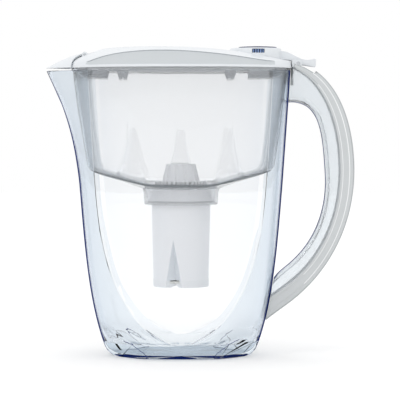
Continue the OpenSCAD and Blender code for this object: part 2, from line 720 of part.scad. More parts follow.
module lid_shell() {
    ledge = crown_t + 0.15;
    under = ledge + 1.4;
    outer = [rib_ring(0, -rib_h), rib_ring(0, 0), lid_ring(0, 0, 0), lid_ring(0.3, 0, 1.8),
        lid_ring(0.3, 1, 2.1), lid_ring(1.1, 1, -0.6, 1), lid_ring(1.4, 0, 0, 1),
        crown_ring(1.4, 0.12, 0.25, 0), crown_ring(1.4, 0.45, 0.56, 0),
        hatch_ring(lid_gap, 0), hatch_ring(lid_gap, ledge), hatch_ring(-ledge_wid, ledge)];
    inner = [rib_ring(rib_t, -rib_h), rib_ring(rib_t, 0), rib_ring(rib_t, 0.6),
        lid_ring(side_t + 1.6, 0, 1.6), lid_ring(side_t + 1.2, 0, 2.2),
        lid_ring(side_t, 0, -1.6, 1), lid_ring(side_t + 0.4, 0, -1.2, 1),
        crown_ring(side_t + 1, 0.12, 0.25, crown_t), crown_ring(side_t + 1, 0.45, 0.56, crown_t),
        hatch_ring(lid_gap + 2, under), hatch_ring(lid_gap, under), hatch_ring(-ledge_wid, under)];
    between(outer, inner);
}

module lid_frame() {
    color([0.89, 0.91, 0.93])
    difference() {
        union() {
            lid_shell();
            for (side = [-1, 1])
                translate([flap_x, side * (flap_top_half + flap_ear / 2), flap_z]) rotate([90, 0, 0])
                cylinder(r = flap_knuckle_r + 0.4, h = flap_ear, center = true);
        }
        translate([flap_x, 0, flap_z]) rotate([90, 0, 0])
        cylinder(r = flap_knuckle_r + 0.5, h = 2 * flap_top_half, center = true);
        translate([flap_x, 0, flap_z]) rotate([90, 0, 0])
        cylinder(r = flap_pin_r + pin_gap, h = 2 * (flap_top_half + flap_ear) + 2, center = true);
    }
}

// Locking tongue, seated under the lid's edge and against its rear wall
module lid_tongue() {
    x = rim_a + (slot_wid - tongue_t) / 2 - 0.3;
    color([0.80, 0.82, 0.84])
    translate([0, tongue_half, 0]) rotate([90, 0, 0])
    linear_extrude(2 * tongue_half)
    polygon([[x, lid_z], [x, lid_z - tongue_h + 1], [x + 0.5, lid_z - tongue_h],
        [x + tongue_t, lid_z - tongue_h], [x + tongue_t, lid_z + 3], [lid_a + 0.05, lid_z + 3],
        [lid_a + 0.05, lid_z]]);
}

// Ears that stand out of the lid's rear wall and carry the hinge
module hinge_ears() {
    foot_x = lid_rear_x(ear_in) + 0.1;
    color([0.89, 0.91, 0.93])
    difference() {
        for (side = [-1, 1])
            translate([0, side * (ear_in + ear_t / 2), 0]) {
                translate([hinge_x, 0, hinge_z]) rotate([90, 0, 0])
                cylinder(r = knuckle_r, h = ear_t, center = true);
                translate([foot_x, -ear_t / 2, hinge_z - knuckle_r])
                cube([hinge_x - foot_x, ear_t, 2 * knuckle_r]);
            }
        translate([hinge_x, 0, hinge_z]) rotate([90, 0, 0])
        cylinder(r = pin_r + pin_gap, h = 2 * ear_out + 2, center = true);
    }
}

module hinge_pin() {
    color([0.75, 0.77, 0.80])
    translate([hinge_x, 0, hinge_z]) rotate([90, 0, 0])
    cylinder(r = pin_r, h = 2 * ear_out, center = true);
}

module flap_pin() {
    color([0.75, 0.77, 0.80])
    translate([flap_x, 0, flap_z]) rotate([90, 0, 0])
    cylinder(r = flap_pin_r, h = 2 * (flap_top_half + flap_ear), center = true);
}

// Rows of the spout flap: share u of the way from its lip to its hinge, w across
flap_rows = [0, 0.06, 0.16, 0.3, 0.48, 0.7, 1];
flap_cols = 12;
function flap_lip(y, inset) =
    -lid_rear_x(y) - spout_reach * spout_share(y, spout_half_wid + lid_over) + inset;
function flap_point(u, w, inset, down) =
    let (
        y = w * mix(flap_half, flap_top_half - 0.6, min(1, 1.2 * u)) - sign(w) * inset * abs(w),
        x = mix(flap_lip(y, inset), flap_x, u),
        h = (crown(flap_x) - 0.1) * (1 - pow(1 - u, 1.5)) * (1 - 0.06 * w * w * u))
    [x, y, lid_z + max(0.3, h - down)];
function flap_grid(inset, down) =
    [for (u = flap_rows) [for (j = [0:flap_cols]) flap_point(u, 1 - 2 * j / flap_cols, inset, down)]];

module spout_flap() {
    color([0.89, 0.91, 0.93])
    difference() {
        union() {
            between(flap_grid(0, 0), flap_grid(flap_t, flap_t), false);
            translate([flap_x, 0, flap_z]) rotate([90, 0, 0])
            cylinder(r = flap_knuckle_r, h = 2 * flap_top_half - 0.8, center = true);
        }
        translate([flap_x, 0, flap_z]) rotate([90, 0, 0])
        cylinder(r = flap_pin_r + pin_gap, h = 2 * flap_half, center = true);
    }
}

// Scaled ring of the flip lid's plate
function plate_ring(share, down) =
    [for (t = lid_angles)
        let (p = hatch_point(t, 0), c = (hatch_front + hatch_rear) / 2,
            q = [c + (p[0] - c) * share, p[1] * share])
        [q[0], q[1], lid_z + hatch_h(q) - down]];
plate_mid = (hatch_front + hatch_rear) / 2;

module plate() {
    skin([plate_ring(0.35, crown_t), plate_ring(0.7, crown_t), plate_ring(1, crown_t), plate_ring(1, 0),
        plate_ring(0.7, 0), plate_ring(0.35, 0)],
        [plate_mid, 0, lid_z + crown(plate_mid) - crown_t], [plate_mid, 0, lid_z + crown(plate_mid)]);
}

// Arm from the plinth over the lid's rear edge to the hinge, and the thumb lever behind it
module lever() {
    top_z = lid_z + plinth_h;
    root_x = counter_x + 12;
    tip_x = hinge_x + lever_len;
    over = lid_z + lid_gap + 0.05;
    translate([0, arm_half, 0]) rotate([90, 0, 0])
    linear_extrude(2 * arm_half)
    polygon([[root_x, top_z - 1.8], [root_x, lid_z + crown(root_x) - crown_t / 2],
        [hatch_rear - 0.5, lid_z + rear_h - crown_t / 2], [hatch_rear, over + rear_h],
        [rim_a - 1.2, over + rear_shoulder + 0.25], [hinge_x - 2.6, hinge_z + 1.4],
        [hinge_x, hinge_z - 1], [hinge_x + 6, hinge_z - 1.6], [tip_x - 0.6, hinge_z - 3],
        [tip_x, hinge_z - 2.2], [tip_x, hinge_z + 3.6], [tip_x - 1, hinge_z + 4.2],
        [hinge_x + 8, hinge_z + 2.8], [hinge_x + 3, hinge_z + 3.6], [hinge_x - 4, hinge_z + 7.2],
        [hinge_x - 9.4, top_z - 2.8]]);
}

// Raised seat of the counter, longer at the front, whose foot follows the plate
function plinth_ring(r, height) =
    [for (t = [0:7.5:359])
        let (long = cos(t) < 0 ? r + plinth_nose : r, p = [counter_x + long * cos(t), r * sin(t)])
        [p[0], p[1], lid_z + (height > 0 ? height : hatch_h(p) - crown_t / 2)]];
module plinth() {
    skin([plinth_ring(plinth_r + 0.8, 0), plinth_ring(plinth_r, plinth_h - 0.8),
        plinth_ring(plinth_r - 0.8, plinth_h)],
        [counter_x, 0, lid_z + crown(counter_x) - crown_t / 2], [counter_x, 0, lid_z + plinth_h]);
}

module flip_lid() {
    color([0.92, 0.94, 0.95])
    difference() {
        union() {
            plate();
            plinth();
            lever();
            translate([hinge_x, 0, hinge_z]) rotate([90, 0, 0])
            cylinder(r = knuckle_r, h = 2 * arm_half, center = true);
        }
        translate([counter_x, 0, lid_z + plinth_h - counter_h - 0.1])
        cylinder(r = counter_r + 0.1, h = counter_h + 1);
        for (side = [0, 180])
            translate([counter_x, 0, lid_z + plinth_h - counter_h + 0.2]) rotate([0, 0, side])
            translate([-pocket_half, counter_r - 1.2, 0]) cube([2 * pocket_half, plinth_r, pocket_h]);
        translate([hinge_x, 0, hinge_z]) rotate([90, 0, 0])
        cylinder(r = pin_r + pin_gap, h = 2 * arm_half + 2, center = true);
    }
}

// Heights inside the counter
counter_z = lid_z + plinth_h - counter_h;
dial_z = counter_z + 2.6;
dial_r = counter_r - 1.8;
ratchet_r = 9;
tooth_h = 1.1;
// Ribs on the housing's side that show in the pockets
rib_turn = 7.2;
rib_half = 0.55;
rib_out = 1.6;
pawl_h = 1.4;

module counter_base() {
    color([0.16, 0.22, 0.42])
    difference() {
        union() {
            translate([counter_x, 0, counter_z]) cylinder(r = counter_r, h = counter_h);
            for (side = [90, 270], k = [-2:2])
                translate([counter_x, 0, counter_z + 0.4])
                rotate([0, 0, side + k * rib_turn])
                translate([counter_r - 0.4, -rib_half, 0])
                cube([rib_out + 0.4, 2 * rib_half, pocket_h - 0.4]);
        }
        translate([counter_x, 0, counter_z + 1]) cylinder(r = counter_r - 1.4, h = counter_h);
        translate([counter_x, 0, counter_z - 1]) cylinder(r = spindle_r, h = 3);
    }
}

module counter_spindle() {
    color([0.80, 0.82, 0.84])
    translate([counter_x, 0, counter_z]) {
        cylinder(r = spindle_r, h = dial_z - counter_z + 1.3);
        translate([0, 0, dial_z - counter_z + 1.1]) cylinder(r = spindle_r + 0.8, h = 0.5);
    }
}

module counter_dial() {
    color([0.94, 0.95, 0.97])
    difference() {
        union() {
            translate([counter_x, 0, dial_z]) cylinder(r = dial_r, h = 0.9);
            translate([counter_x, 0, dial_z - 1.2])
            linear_extrude(1.4)
            polygon([for (k = [0:tooth_n - 1], e = [0, 1])
                let (t = (k + e * 0.12) * 360 / tooth_n, r = ratchet_r - (e == 0 ? tooth_h : 0))
                [r * cos(t), r * sin(t)]]);
        }
        translate([counter_x, 0, dial_z - 2]) cylinder(r = spindle_r + pin_gap, h = 4);
    }
}

module counter_pawl() {
    strip_x = 1.7 - dial_r;
    color([0.85, 0.86, 0.88])
    translate([counter_x + strip_x, 0, counter_z + 1.05]) {
        translate([0, -5.5, 0]) cube([0.8, 7.4, pawl_h]);
        translate([0, -5.5, 0]) cube([2, 1.6, pawl_h]);
        translate([0, 1, 0]) cube([-strip_x - ratchet_r - 0.2, 0.9, pawl_h]);
    }
}

module counter_window() {
    big = (pow(counter_r, 2) + pow(dome_h, 2)) / (2 * dome_h);
    small = big - dome_t;
    // Half angles of the dome's outer and inner face
    wide = asin(counter_r / big);
    narrow = acos((big - dome_h) / small);
    color([0.85, 0.92, 1, 0.35])
    translate([counter_x, 0, lid_z + plinth_h + dome_h - big])
    rotate_extrude()
    polygon(concat(
        [for (i = [0:10]) big * [sin(wide * i / 10), cos(wide * i / 10)]],
        [for (i = [10:-1:0]) small * [sin(narrow * i / 10), cos(narrow * i / 10)]]));
}

jug();
handle_channel();
handle_cover();
hopper();
cartridge_seal();
cartridge_body();
cartridge_flange();
cartridge_basket();
cartridge_knob();
cartridge_base();
top_felt();
bottom_felt();
filter_media();
lid_frame();
lid_tongue();
hinge_ears();
hinge_pin();
spout_flap();
flap_pin();
flip_lid();
counter_base();
counter_spindle();
counter_dial();
counter_pawl();
counter_window();
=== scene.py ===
# %% [markdown]
# # A water filter pitcher with a flip lid
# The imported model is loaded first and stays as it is. It gives every part's true size and place, so a new
# piece can be built straight where it belongs. All lengths are metres, and MM turns a drawing's millimetres
# into metres.

# %% Load the frame
import math
import bpy
from mathutils import Matrix, Vector


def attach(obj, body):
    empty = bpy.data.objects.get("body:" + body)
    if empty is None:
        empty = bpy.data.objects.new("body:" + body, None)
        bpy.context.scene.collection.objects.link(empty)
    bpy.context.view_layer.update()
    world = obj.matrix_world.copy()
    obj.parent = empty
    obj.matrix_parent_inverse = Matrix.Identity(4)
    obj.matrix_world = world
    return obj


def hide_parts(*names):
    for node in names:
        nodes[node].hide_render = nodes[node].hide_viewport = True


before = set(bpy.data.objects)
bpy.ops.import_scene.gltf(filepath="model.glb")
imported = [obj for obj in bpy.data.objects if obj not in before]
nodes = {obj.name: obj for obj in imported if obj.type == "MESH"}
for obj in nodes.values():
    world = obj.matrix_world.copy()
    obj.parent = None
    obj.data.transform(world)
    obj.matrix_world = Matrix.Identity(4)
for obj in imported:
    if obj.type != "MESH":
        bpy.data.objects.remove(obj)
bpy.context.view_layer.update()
MM = 0.001

# %% [markdown]
# A colour is picked as it looks on a screen, in hex. The shader works in linear light, so one function
# turns the one into the other, and every colour in this file goes through it.

# %% Colour
def ink(hex_code):
    """A screen colour such as #DCE4EC as the linear colour that a shader wants."""
    parts = [int(hex_code[i:i + 2], 16) / 255 for i in (1, 3, 5)]
    linear = [c / 12.92 if c <= 0.04045 else ((c + 0.055) / 1.055) ** 2.4 for c in parts]
    return (*linear, 1.0)


print("a light blue-grey in linear light:", ink("#DCE4EC"))

# %% [markdown]
# A finish is a small graph of nodes. Each one is added with its settings and with the outputs it reads, so
# a recipe can be read from top to bottom like the steps that a real surface went through.

# %% Shader graph helpers
def add(tree, kind, settings=None, links=None):
    """Adds a node. Settings go to its sockets or its properties, links say what a socket reads."""
    node = tree.nodes.new(kind)
    for name, value in (settings or {}).items():
        if isinstance(name, int) or name in node.inputs:
            node.inputs[name].default_value = value
        else:
            setattr(node, name, value)
    for name, source in (links or {}).items():
        tree.links.new(source, node.inputs[name])
    return node


def finish_named(name):
    """An empty material, its tree, an object-space position to read and its output node."""
    mat = bpy.data.materials.new(name)
    mat.use_nodes = True
    mat.node_tree.nodes.clear()
    where = add(mat.node_tree, "ShaderNodeTexCoord").outputs["Object"]
    out = add(mat.node_tree, "ShaderNodeOutputMaterial")
    return mat, mat.node_tree, where, out


def wear(piece, *finishes):
    """Puts finishes on a piece in place of what it had. A face keeps the number it was marked with."""
    marked = [face.material_index for face in piece.data.polygons]
    piece.data.materials.clear()
    for finish in finishes:
        piece.data.materials.append(finish)
    for face, number in zip(piece.data.polygons, marked):
        face.material_index = min(number, len(finishes) - 1)


print("helpers for finishes are ready")

# %% [markdown]
# ## Clear moulded plastic
# The jug is moulded from clear styrene plastic. Square on, its wall of two millimetres lets nearly all
# light through. Aslant, light has a longer way through the blue-tinted wall, and along the rim, the foot
# and the sides it adds up to a thin navy line. A ray tracer gives that only with a very long path, so the
# tint follows the slant of the surface, as the shader's own Fresnel reflection does, and close to the
# outline a solid navy takes over. A slow ripple in the surface is the flow of the melt in the mould. Light
# also has to get in: a lamp's ray isn't bent by the wall but passes straight through it, or everything
# inside would lie in the dark.

# %% Helpers for clear plastic
def ramp(tree, value, stops):
    """A colour ramp through stops, a list of places from 0 to 1 and screen colours."""
    node = add(tree, "ShaderNodeValToRGB", links={"Fac": value})
    edge = node.color_ramp.elements
    while len(edge) < len(stops):
        edge.new(0.5)
    for element, (place, colour) in zip(edge, stops):
        element.position = place
        element.color = ink(colour)
    return node.outputs["Color"]


def let_lamps_through(tree, out, body):
    """Joins a see-through finish to the output, with a straight way for the rays of lamps."""
    path = add(tree, "ShaderNodeLightPath")
    straight = add(tree, "ShaderNodeBsdfTransparent", {"Color": ink("#FDFDFE")})
    choice = add(tree, "ShaderNodeMixShader",
                 links={0: path.outputs["Is Shadow Ray"], 1: body, 2: straight.outputs["BSDF"]})
    tree.links.new(choice.outputs["Shader"], out.inputs["Surface"])


print("helpers for see-through finishes are ready")

# %% Finish: clear plastic
FLOW_SIZE = 18 * MM
FLOW_DEPTH = 0.4 * MM
WIPE_SIZE = 4 * MM
WIPE_HAZE = 2.2
STYRENE_IOR = 1.45
NEARLY_STRAIGHT = 1.04


def clear_plastic(name, stops, rough, ripple, rim=None, milk=None, bend=STYRENE_IOR):
    """Stops give the colour of one wall from square on, at 0, to along the wall, at 1.

    A rim is a colour and the slants from where to where it takes over. Milk is a share and a colour of
    pigment in the plastic. Bend is how much the surface bends light."""
    mat, tree, where, out = finish_named(name)
    flow = add(tree, "ShaderNodeTexNoise", {"Scale": 1 / FLOW_SIZE, "Detail": 2.0, "Roughness": 0.4},
               {"Vector": where})
    wiped = add(tree, "ShaderNodeTexNoise", {"Scale": 1 / WIPE_SIZE, "Detail": 4.0, "Roughness": 0.6},
                {"Vector": where})
    haze = add(tree, "ShaderNodeMapRange", {"To Min": rough, "To Max": rough * WIPE_HAZE},
               {"Value": wiped.outputs["Fac"]})
    bump = add(tree, "ShaderNodeBump", {"Strength": ripple, "Distance": FLOW_DEPTH},
               {"Height": flow.outputs["Fac"]})
    slant = add(tree, "ShaderNodeLayerWeight", {"Blend": 0.5}).outputs["Facing"]
    body = add(tree, "ShaderNodeBsdfPrincipled", {"Transmission Weight": 1.0, "IOR": bend},
               {"Base Color": ramp(tree, slant, stops), "Roughness": haze.outputs["Result"],
                "Normal": bump.outputs["Normal"]}).outputs["BSDF"]
    if milk:
        share, colour = milk
        pigment = add(tree, "ShaderNodeBsdfPrincipled",
                      {"Base Color": ink(colour), "Roughness": 0.5, "Specular IOR Level": 0.2})
        body = add(tree, "ShaderNodeMixShader", {0: share},
                   {1: body, 2: pigment.outputs["BSDF"]}).outputs[0]
    if rim:
        colour, start, end = rim
        line = add(tree, "ShaderNodeBsdfPrincipled",
                   {"Base Color": ink(colour), "Roughness": 0.6, "Specular IOR Level": 0.0})
        share = add(tree, "ShaderNodeMapRange", {"From Min": start, "From Max": end}, {"Value": slant})
        body = add(tree, "ShaderNodeMixShader",
                   links={0: share.outputs["Result"], 1: body, 2: line.outputs["BSDF"]}).outputs[0]
    let_lamps_through(tree, out, body)
    return mat


print("clear_plastic is ready")

# %% [markdown]
# ## The jug's plastics
# Outside its panels the jug's wall looks bluish even square on. The panels and the inner skin look almost
# colourless. The panel's step is painted white as a painted highlight, and the foot is a thick, quiet block
# of plastic. The step and the foot hardly bend light here, because a bent ray would bring dark images of the
# floor into them, which the real ones don't show.

# %% The jug's plastics
NAVY_LINE = "#1D2D68"
clear = clear_plastic(
    "clear_styrene_wall",
    [(0.0, "#E6ECF1"), (0.45, "#DCE4EC"), (0.7, "#C6D0DE"), (0.85, "#8C9CC2"), (1.0, "#33457F")],
    0.012, 0.04, rim=(NAVY_LINE, 0.66, 0.80))
panel = clear_plastic(
    "clear_styrene_panel", [(0.0, "#FCFDFE"), (0.6, "#F0F3F7"), (1.0, "#D5DDE9")], 0.012, 0.04)
inside = clear_plastic(
    "clear_styrene_inside", [(0.0, "#FBFCFD"), (0.5, "#F3F6F9"), (1.0, "#DDE5EF")], 0.012, 0.04)
# Painted highlight: the step's white line is a pure white finish that barely bends light.
step_painted_highlight = clear_plastic("crease_painted_highlight", [(0.0, "#FFFFFF"), (1.0, "#FFFFFF")], 0.02, 0.0, bend=1.02)
foot_clear = clear_plastic(
    "clear_foot_wall", [(0.0, "#EAF0F4"), (0.6, "#DDE6EE"), (1.0, "#B5C2D8")], 0.02, 0.0,
    rim=(NAVY_LINE, 0.80, 0.90), bend=NEARLY_STRAIGHT)
foot_inside = clear_plastic(
    "clear_foot_inside", [(0.0, "#FAFCFD"), (1.0, "#E2EAF1")], 0.02, 0.0, bend=NEARLY_STRAIGHT)
foot_line = clear_plastic(
    "dark_foot_edge", [(0.0, "#5A6CA0"), (1.0, "#2C3D78")], 0.1, 0.0, milk=(0.95, NAVY_LINE))
print("finishes:", [m.name for m in (clear, panel, inside, step_painted_highlight, foot_clear, foot_inside, foot_line)])

# %% [markdown]
# ## The plastics of the window, the handle and the hopper
# The counter's window is as clear as the jug. The handle's channel and the hopper hold a little white
# pigment, and the hopper's skin is slightly frosted. Where the hopper's wall turns away, a thin dark line
# and a grey band follow, as its thick ends show from the side.

# %% Plastics of the window, the handle and the hopper
window = clear_plastic(
    "clear_window_plastic", [(0.0, "#FAFCFF"), (0.6, "#E2EAF6"), (0.9, "#8FA6D6"), (1.0, "#3A55A0")],
    0.01, 0.02)
CHANNEL_TINT = [(0.0, "#F6F9FB"), (0.5, "#EEF2F5"), (0.8, "#DDE4EA"), (1.0, "#C2CCD8")]
grip_clear = clear_plastic(
    "channel_styrene_edge", CHANNEL_TINT, 0.05, 0.03, rim=("#2C3D78", 0.78, 0.92), milk=(0.16, "#F4F6F8"))
grip_inside = clear_plastic(
    "channel_styrene", CHANNEL_TINT, 0.05, 0.03, milk=(0.14, "#F4F6F8"), bend=1.15)
frosted = clear_plastic(
    "hopper_frosted_styrene",
    [(0.0, "#FFFFFF"), (0.26, "#FBFCFD"), (0.30, "#B9BFC4"), (0.33, "#E9ECEF"), (0.37, "#CDD2D6"),
     (0.7, "#B7BDC2"), (0.86, "#7C8489"), (1.0, "#5A6267")], 0.035, 0.03, milk=(0.08, "#FFFFFF"))
# Painted light: the flutes get a brighter finish than the wall round them.
flute_light = clear_plastic(
    "hopper_flute_painted_light", [(0.0, "#FFFFFF"), (0.12, "#FBFCFD"), (0.3, "#E4E8EB"), (1.0, "#A9B0B5")],
    0.05, 0.0, milk=(0.16, "#FFFFFF"))
hopper_edge = clear_plastic(
    "hopper_thick_edge", [(0.0, "#8A9297"), (1.0, "#6E767B")], 0.1, 0.0, milk=(0.8, "#7F878C"))
collar = clear_plastic(
    "hopper_collar", [(0.0, "#FAFBFC"), (0.5, "#F0F2F4"), (0.85, "#B4BBC0"), (1.0, "#8A9297")],
    0.04, 0.0, milk=(0.2, "#FFFFFF"))
print("finishes:", [m.name for m in (window, grip_clear, grip_inside, frosted, flute_light, hopper_edge, collar)])

# %% [markdown]
# ## Solid plastics
# The lid, the grip and the cartridge are filled with white pigment. Each has the fine texture of its mould
# as a bump and a slight change of colour from the melt.

# %% Finish: pigmented plastic
MELT_SIZE = 22 * MM
SKIN_DEPTH = 0.05 * MM
PIGMENTED_IOR = 1.46


def moulded(name, colour, shade, rough, grain_mm, grain):
    """Colour and shade are the melt's two tones, grain_mm and grain the size and strength of the skin."""
    mat, tree, where, out = finish_named(name)
    melt = add(tree, "ShaderNodeTexNoise", {"Scale": 1 / MELT_SIZE, "Detail": 3.0}, {"Vector": where})
    skin = add(tree, "ShaderNodeTexNoise", {"Scale": 1 / (grain_mm * MM), "Detail": 5.0, "Roughness": 0.65},
               {"Vector": where})
    tone = add(tree, "ShaderNodeMix", {"data_type": "RGBA", 6: ink(colour), 7: ink(shade)},
               {0: melt.outputs["Fac"]})
    gloss = add(tree, "ShaderNodeMapRange", {"To Min": rough - 0.05, "To Max": rough + 0.07},
                {"Value": skin.outputs["Fac"]})
    bump = add(tree, "ShaderNodeBump", {"Strength": grain, "Distance": SKIN_DEPTH},
               {"Height": skin.outputs["Fac"]})
    body = add(tree, "ShaderNodeBsdfPrincipled", {"IOR": PIGMENTED_IOR},
               {"Base Color": tone.outputs[2], "Roughness": gloss.outputs["Result"],
                "Normal": bump.outputs["Normal"]})
    tree.links.new(body.outputs["BSDF"], out.inputs["Surface"])
    return mat


lid_white = moulded("lid_satin_plastic", "#E4E7EA", "#DFE3E7", 0.34, 0.5, 0.25)
# Painted shade: the lid's side field and the ledge over it get darker greys for the shade of the recess.
lid_field_shade = moulded("lid_field_painted_shade", "#CDD1D4", "#C9CED1", 0.5, 0.4, 0.3)
shade_on_ledge = moulded("lid_ledge_painted_shade", "#AEB4B8", "#A9AFB3", 0.5, 0.4, 0.1)
grip_grey = moulded("grip_satin_plastic", "#CBCED0", "#C7CBCC", 0.42, 0.4, 0.35)
# Painted highlight on the grip's step slopes and painted shade on its outermost slope.
grip_step_highlight = moulded("grip_step_painted_highlight", "#F0F2F3", "#EEF0F1", 0.25, 0.4, 0.1)
grip_ridge_painted_shade = moulded("grip_ridge_painted_shade", "#A6ABAD", "#A2A7A9", 0.45, 0.4, 0.1)
tongue_grey = moulded("tongue_plastic", "#8A8E90", "#868A8D", 0.45, 0.4, 0.2)
filter_white = moulded("cartridge_polypropylene", "#FCFCFD", "#F8F9FB", 0.38, 0.5, 0.2)
# Painted shade: a darker white for the flanks of the cartridge's grooves.
groove_shade = moulded("cartridge_groove_painted_shade", "#E9EDF1", "#E5E9ED", 0.38, 0.5, 0.2)
knob_grey = moulded("knob_polypropylene", "#F8F9FA", "#F4F5F7", 0.36, 0.5, 0.2)
navy = moulded("counter_navy_plastic", "#1B2A5E", "#17244F", 0.28, 0.5, 0.15)
rib_blue = moulded("counter_rib_plastic", "#9DB8E6", "#93B0E2", 0.28, 0.5, 0.1)
dial_white = moulded("dial_plastic", "#E9EEF6", "#E2E9F3", 0.30, 0.5, 0.15)
seal_rubber = moulded("seal_rubber", "#7D858B", "#757D84", 0.55, 0.3, 0.3)
print("finishes:", [m.name for m in (lid_white, lid_field_shade, grip_grey, filter_white, navy, seal_rubber)])

# %% [markdown]
# ## Felt, granules and steel
# The felt mats are matted fibres, the filter is filled with broken carbon granules, and the pins are drawn
# steel. In each of them colour and roughness to the touch come from the same structure, so one pattern
# drives both the tone and the bump.

# %% Finish: felt, granules and steel
GRAIN_DEPTH = 0.2 * MM


def rough_stuff(name, low, high, scale_mm, strength, rough, metal=0.0, kind="ShaderNodeTexVoronoi"):
    """A finish whose colour and bump follow one pattern: cells for grains, noise for fibres or steel."""
    mat, tree, where, out = finish_named(name)
    grain = add(tree, kind, {"Scale": 1 / (scale_mm * MM)}, {"Vector": where})
    value = grain.outputs[0]
    tone = add(tree, "ShaderNodeMix", {"data_type": "RGBA", 6: ink(low), 7: ink(high)}, {0: value})
    bump = add(tree, "ShaderNodeBump", {"Strength": strength, "Distance": GRAIN_DEPTH}, {"Height": value})
    body = add(tree, "ShaderNodeBsdfPrincipled", {"Roughness": rough, "Metallic": metal},
               {"Base Color": tone.outputs[2], "Normal": bump.outputs["Normal"]})
    tree.links.new(body.outputs["BSDF"], out.inputs["Surface"])
    return mat


felt = rough_stuff("felt_fibres", "#E6E6E0", "#FAFAF6", 0.3, 0.6, 0.95, kind="ShaderNodeTexNoise")
granules = rough_stuff("carbon_granules", "#15171A", "#4A4C50", 0.9, 0.9, 0.7)
steel = rough_stuff("pin_steel", "#B9BDC2", "#C9CDD1", 0.3, 0.05, 0.25, metal=1.0, kind="ShaderNodeTexNoise")
print("finishes:", [m.name for m in (felt, granules, steel)])

# %% [markdown]
# ## Shells
# The moulded shells are drawn in the CAD model as flat facets between their rings. For the eye they need
# the smooth surface of the real mould. Each shell is copied, its loose triangles are merged and paired to
# quads, its sharp edges are creased, and a subdivision surface rounds what lies between them. A moulding
# can have regions that look different, so finishes go on by number: 0 is the shell's main finish, and a
# mark gives a further number to the faces that pass a test. A test gets a face's centre c in millimetres
# and its normal n.

# %% Helpers for selecting and modifying
def deselect():
    """Leaves edit mode and selects nothing."""
    if bpy.context.object and bpy.context.object.mode != "OBJECT":
        bpy.ops.object.mode_set(mode="OBJECT")
    bpy.ops.object.select_all(action="DESELECT")


def take(piece):
    """Makes one piece the only selected and active one."""
    deselect()
    piece.select_set(True)
    bpy.context.view_layer.objects.active = piece


def use(piece, kind, **settings):
    """Adds a modifier to a piece and applies it."""
    take(piece)
    modifier = piece.modifiers.new(kind.lower(), kind)
    for name, value in settings.items():
        setattr(modifier, name, value)
    bpy.ops.object.modifier_apply(modifier=modifier.name)


print("helpers for selecting are ready")

# %% Helpers for shells
QUAD_FLAT = math.radians(25)
QUAD_SHAPE = math.radians(60)
SAME_POINT = 0.002 * MM
CREASE = 0.9


def merged_copy(node, name, rows=()):
    """A copy of a CAD node with its triangles merged and paired to quads.

    Rows are heights in millimetres that no quad may cross. Pairing keeps to one material, so for the
    time of the pairing each row has a number of its own."""
    piece = bpy.data.objects.new(name, nodes[node].data.copy())
    for face in piece.data.polygons:
        face.material_index = sum(face.center.z > row * MM for row in rows)
    bpy.context.scene.collection.objects.link(piece)
    take(piece)
    bpy.ops.object.mode_set(mode="EDIT")
    bpy.ops.mesh.select_all(action="SELECT")
    bpy.ops.mesh.remove_doubles(threshold=SAME_POINT)
    bpy.ops.mesh.customdata_custom_splitnormals_clear()
    bpy.ops.mesh.tris_convert_to_quads(face_threshold=QUAD_FLAT, shape_threshold=QUAD_SHAPE,
                                       materials=True)
    bpy.ops.object.mode_set(mode="OBJECT")
    for face in piece.data.polygons:
        face.material_index = 0
    return piece


def crease_corners(piece, sharp):
    """Keeps the edges that turn by more than an angle in degrees."""
    take(piece)
    bpy.ops.object.mode_set(mode="EDIT")
    bpy.ops.mesh.select_mode(type="EDGE")
    bpy.ops.mesh.select_all(action="DESELECT")
    bpy.ops.mesh.edges_select_sharp(sharpness=math.radians(sharp))
    bpy.ops.transform.edge_crease(value=CREASE)
    bpy.ops.object.mode_set(mode="OBJECT")


def mark(piece, index, test):
    """Numbers a finish on the faces that pass a test of their centre, in millimetres, and normal."""
    for face in piece.data.polygons:
        if test(face.center / MM, face.normal):
            face.material_index = index


def smooth_shell(node, name, finishes, marks=(), sharp=32, levels=2, rows=()):
    """A shell with the smooth skin of the real moulding, its corners kept by creases."""
    piece = merged_copy(node, name, rows)
    wear(piece, *finishes)
    for index, test in marks:
        mark(piece, index, test)
    crease_corners(piece, sharp)
    use(piece, "SUBSURF", levels=levels, render_levels=levels)
    return piece


def settle(piece, node, body, soft=35):
    """Shades a finished shell and puts it in the place of its CAD node."""
    take(piece)
    bpy.ops.object.shade_smooth_by_angle(angle=math.radians(soft))
    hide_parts(node)
    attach(piece, body)
    print(piece.name, "faces:", len(piece.data.polygons))


def plain_copy(node, name, finishes, marks, body):
    """A copy of a CAD node whose shape is right, with finishes by region."""
    piece = merged_copy(node, name)
    wear(piece, *finishes)
    for index, test in marks:
        mark(piece, index, test)
    settle(piece, node, body)


print("helpers for shells are ready")

# %% [markdown]
# ## The jug
# The jug's wall has a raised panel on each long side, shaped like a U and bounded by a step. The step is
# painted white, a painted highlight for the light that it catches. Outside the panel the plastic looks
# bluer.
# The step runs along the edge that the CAD model gives the panel, so the tests below measure from that same
# curve, drawn straight between the model's rings as its facets are. The rows are the heights of all the
# model's rings, inner and outer.

# %% The jug's regions
FOOT_TOP = 13
PANEL_LOW = 14
PANEL_TURN = 154
RIM_TOP = 241.5
PANEL_HALF = 70
PANEL_SPREAD = 5
PANEL_TIP = 0.8
STEP_START = -0.2
STEP_END = 1.4
STEP_TIP = 9
OVAL_LONG = 92
OVAL_WIDE = 54
FLOOR_TOP = 8
FLAT_TILT = 0.7
RIM_TILT = 0.9
RING_LEVELS = [FOOT_TOP, PANEL_LOW, 18, 26, 38, 56, 80, 110, 144, PANEL_TURN, RIM_TOP]
JUG_ROWS = [0.84, 2.8, 3, 3.84, 6.5, 7, 13, 14, 18, 26, 38, 56, 80, 110, 144, 149.5, 177.1, 197.34,
            213.9, 228.62]


